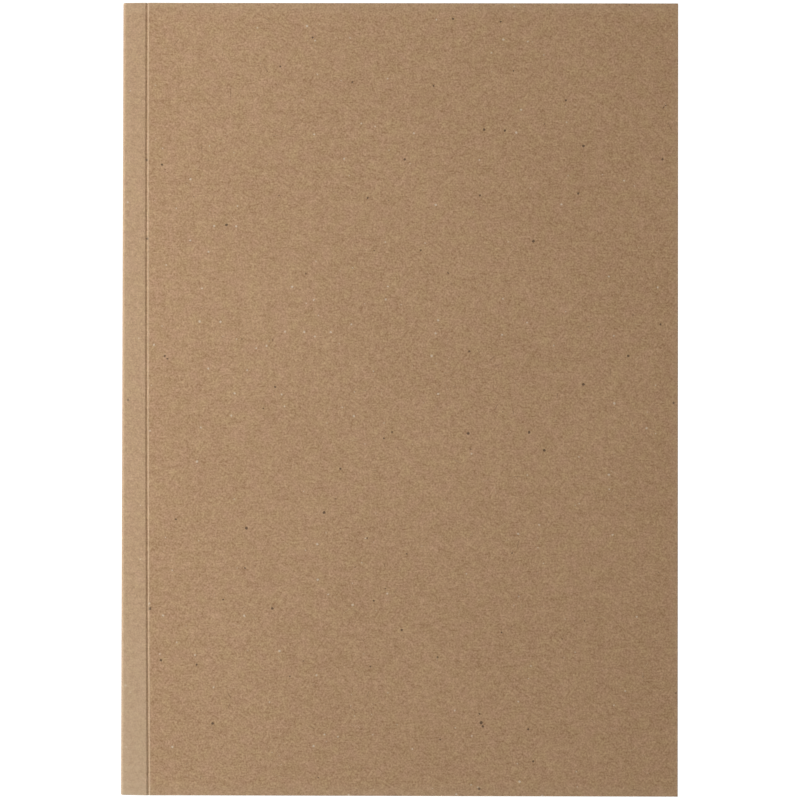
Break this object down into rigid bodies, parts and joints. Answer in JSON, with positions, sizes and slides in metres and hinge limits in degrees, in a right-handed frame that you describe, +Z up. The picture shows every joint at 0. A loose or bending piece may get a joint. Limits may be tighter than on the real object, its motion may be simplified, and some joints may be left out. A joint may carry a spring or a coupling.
{
  "type": "pocket notebook",
  "caption": "Slim pocket notebook with a plain kraft board cover, creased beside the spine so that it opens, round a thread-sewn block of off-white leaves",
  "frame": {"origin": "centre of the closed notebook's footprint, on the outer face of the back cover", "axes": "+X from the spine to the fore edge, +Y from the tail to the head, +Z up through the thickness, front cover on top; metres"},
  "size_m": [0.1038, 0.148, 0.0086],
  "materials": {
    "kraft_board": "uncoated natural brown board, fine fibres and specks",
    "page_paper": "uncoated off-white writing paper",
    "lining": "open-weave cotton lining cloth",
    "glue": "dried binding glue, slightly waxy",
    "thread": "waxed linen sewing thread"
  },
  "bodies": {
    "block": {"spine_wrap": "kraft_board", "front_side_glue": "glue", "back_side_glue": "glue", "spine_lining": "lining", "spine_glue": "glue", "section_1": "page_paper", "section_2": "page_paper", "section_3": "page_paper", "section_4": "page_paper", "section_5": "page_paper", "thread_1": "thread", "thread_2": "thread", "thread_3": "thread", "thread_4": "thread", "thread_5": "thread"},
    "front_cover": {"front_cover": "kraft_board"},
    "back_cover": {"back_cover": "kraft_board"},
    "leaf_01": {"leaf_01": "page_paper"},
    "leaf_02": {"leaf_02": "page_paper"},
    "leaf_03": {"leaf_03": "page_paper"},
    "leaf_04": {"leaf_04": "page_paper"},
    "leaf_05": {"leaf_05": "page_paper"},
    "leaf_06": {"leaf_06": "page_paper"},
    "leaf_07": {"leaf_07": "page_paper"},
    "leaf_08": {"leaf_08": "page_paper"},
    "leaf_09": {"leaf_09": "page_paper"},
    "leaf_10": {"leaf_10": "page_paper"},
    "leaf_11": {"leaf_11": "page_paper"},
    "leaf_12": {"leaf_12": "page_paper"},
    "leaf_60": {"leaf_60": "page_paper"},
    "leaf_59": {"leaf_59": "page_paper"},
    "leaf_58": {"leaf_58": "page_paper"},
    "leaf_57": {"leaf_57": "page_paper"},
    "leaf_56": {"leaf_56": "page_paper"},
    "leaf_55": {"leaf_55": "page_paper"},
    "leaf_54": {"leaf_54": "page_paper"},
    "leaf_53": {"leaf_53": "page_paper"},
    "leaf_52": {"leaf_52": "page_paper"},
    "leaf_51": {"leaf_51": "page_paper"},
    "leaf_50": {"leaf_50": "page_paper"},
    "leaf_49": {"leaf_49": "page_paper"}
  },
  "joints": [
    {"name": "front_cover_hinge", "type": "hinge", "parent": "block", "child": "front_cover", "pos_m": [-0.04718, 0, 0.00865], "axis": [0, -1, 0], "range_deg": [0, 180]},
    {"name": "back_cover_hinge", "type": "hinge", "parent": "block", "child": "back_cover", "pos_m": [-0.04718, 0, -0.00005], "axis": [0, 1, 0], "range_deg": [0, 180]},
    {"name": "leaf_01_turn", "type": "hinge", "parent": "block", "child": "leaf_01", "pos_m": [-0.04718, 0, 0.00865], "axis": [0, -1, 0], "range_deg": [0, 177.31]},
    {"name": "leaf_02_turn", "type": "hinge", "parent": "block", "child": "leaf_02", "pos_m": [-0.04718, 0, 0.00865], "axis": [0, -1, 0], "range_deg": [0, 173.71]},
    {"name": "leaf_03_turn", "type": "hinge", "parent": "block", "child": "leaf_03", "pos_m": [-0.04718, 0, 0.00865], "axis": [0, -1, 0], "range_deg": [0, 169.21]},
    {"name": "leaf_04_turn", "type": "hinge", "parent": "block", "child": "leaf_04", "pos_m": [-0.04718, 0, 0.00865], "axis": [0, -1, 0], "range_deg": [0, 162.01]},
    {"name": "leaf_05_turn", "type": "hinge", "parent": "block", "child": "leaf_05", "pos_m": [-0.04718, 0, 0.00865], "axis": [0, -1, 0], "range_deg": [0, 151.21]},
    {"name": "leaf_06_turn", "type": "hinge", "parent": "block", "child": "leaf_06", "pos_m": [-0.04718, 0, 0.00865], "axis": [0, -1, 0], "range_deg": [0, 135.01]},
    {"name": "leaf_07_turn", "type": "hinge", "parent": "block", "child": "leaf_07", "pos_m": [-0.04718, 0, 0.00865], "axis": [0, -1, 0], "range_deg": [0, 108.01]},
    {"name": "leaf_08_turn", "type": "hinge", "parent": "block", "child": "leaf_08", "pos_m": [-0.04718, 0, 0.00865], "axis": [0, -1, 0], "range_deg": [0, 72.01]},
    {"name": "leaf_09_turn", "type": "hinge", "parent": "block", "child": "leaf_09", "pos_m": [-0.04718, 0, 0.00865], "axis": [0, -1, 0], "range_deg": [0, 43.21]},
    {"name": "leaf_10_turn", "type": "hinge", "parent": "block", "child": "leaf_10", "pos_m": [-0.04718, 0, 0.00865], "axis": [0, -1, 0], "range_deg": [0, 23.41]},
    {"name": "leaf_11_turn", "type": "hinge", "parent": "block", "child": "leaf_11", "pos_m": [-0.04718, 0, 0.00865], "axis": [0, -1, 0], "range_deg": [0, 10.81]},
    {"name": "leaf_12_turn", "type": "hinge", "parent": "block", "child": "leaf_12", "pos_m": [-0.04718, 0, 0.00865], "axis": [0, -1, 0], "range_deg": [0, 4.51]},
    {"name": "leaf_60_turn", "type": "hinge", "parent": "block", "child": "leaf_60", "pos_m": [-0.04718, 0, -0.00005], "axis": [0, 1, 0], "range_deg": [0, 177.31]},
    {"name": "leaf_59_turn", "type": "hinge", "parent": "block", "child": "leaf_59", "pos_m": [-0.04718, 0, -0.00005], "axis": [0, 1, 0], "range_deg": [0, 173.71]},
    {"name": "leaf_58_turn", "type": "hinge", "parent": "block", "child": "leaf_58", "pos_m": [-0.04718, 0, -0.00005], "axis": [0, 1, 0], "range_deg": [0, 169.21]},
    {"name": "leaf_57_turn", "type": "hinge", "parent": "block", "child": "leaf_57", "pos_m": [-0.04718, 0, -0.00005], "axis": [0, 1, 0], "range_deg": [0, 162.01]},
    {"name": "leaf_56_turn", "type": "hinge", "parent": "block", "child": "leaf_56", "pos_m": [-0.04718, 0, -0.00005], "axis": [0, 1, 0], "range_deg": [0, 151.21]},
    {"name": "leaf_55_turn", "type": "hinge", "parent": "block", "child": "leaf_55", "pos_m": [-0.04718, 0, -0.00005], "axis": [0, 1, 0], "range_deg": [0, 135.01]},
    {"name": "leaf_54_turn", "type": "hinge", "parent": "block", "child": "leaf_54", "pos_m": [-0.04718, 0, -0.00005], "axis": [0, 1, 0], "range_deg": [0, 108.01]},
    {"name": "leaf_53_turn", "type": "hinge", "parent": "block", "child": "leaf_53", "pos_m": [-0.04718, 0, -0.00005], "axis": [0, 1, 0], "range_deg": [0, 72.01]},
    {"name": "leaf_52_turn", "type": "hinge", "parent": "block", "child": "leaf_52", "pos_m": [-0.04718, 0, -0.00005], "axis": [0, 1, 0], "range_deg": [0, 43.21]},
    {"name": "leaf_51_turn", "type": "hinge", "parent": "block", "child": "leaf_51", "pos_m": [-0.04718, 0, -0.00005], "axis": [0, 1, 0], "range_deg": [0, 23.41]},
    {"name": "leaf_50_turn", "type": "hinge", "parent": "block", "child": "leaf_50", "pos_m": [-0.04718, 0, -0.00005], "axis": [0, 1, 0], "range_deg": [0, 10.81]},
    {"name": "leaf_49_turn", "type": "hinge", "parent": "block", "child": "leaf_49", "pos_m": [-0.04718, 0, -0.00005], "axis": [0, 1, 0], "range_deg": [0, 4.51]}
  ],
  "couplings": [
    {"joint": "leaf_01_turn", "follows": "front_cover_hinge", "ratio": 0.985},
    {"joint": "leaf_02_turn", "follows": "front_cover_hinge", "ratio": 0.965},
    {"joint": "leaf_03_turn", "follows": "front_cover_hinge", "ratio": 0.94},
    {"joint": "leaf_04_turn", "follows": "front_cover_hinge", "ratio": 0.9},
    {"joint": "leaf_05_turn", "follows": "front_cover_hinge", "ratio": 0.84},
    {"joint": "leaf_06_turn", "follows": "front_cover_hinge", "ratio": 0.75},
    {"joint": "leaf_07_turn", "follows": "front_cover_hinge", "ratio": 0.6},
    {"joint": "leaf_08_turn", "follows": "front_cover_hinge", "ratio": 0.4},
    {"joint": "leaf_09_turn", "follows": "front_cover_hinge", "ratio": 0.24},
    {"joint": "leaf_10_turn", "follows": "front_cover_hinge", "ratio": 0.13},
    {"joint": "leaf_11_turn", "follows": "front_cover_hinge", "ratio": 0.06},
    {"joint": "leaf_12_turn", "follows": "front_cover_hinge", "ratio": 0.025},
    {"joint": "leaf_60_turn", "follows": "back_cover_hinge", "ratio": 0.985},
    {"joint": "leaf_59_turn", "follows": "back_cover_hinge", "ratio": 0.965},
    {"joint": "leaf_58_turn", "follows": "back_cover_hinge", "ratio": 0.94},
    {"joint": "leaf_57_turn", "follows": "back_cover_hinge", "ratio": 0.9},
    {"joint": "leaf_56_turn", "follows": "back_cover_hinge", "ratio": 0.84},
    {"joint": "leaf_55_turn", "follows": "back_cover_hinge", "ratio": 0.75},
    {"joint": "leaf_54_turn", "follows": "back_cover_hinge", "ratio": 0.6},
    {"joint": "leaf_53_turn", "follows": "back_cover_hinge", "ratio": 0.4},
    {"joint": "leaf_52_turn", "follows": "back_cover_hinge", "ratio": 0.24},
    {"joint": "leaf_51_turn", "follows": "back_cover_hinge", "ratio": 0.13},
    {"joint": "leaf_50_turn", "follows": "back_cover_hinge", "ratio": 0.06},
    {"joint": "leaf_49_turn", "follows": "back_cover_hinge", "ratio": 0.025}
  ]
}
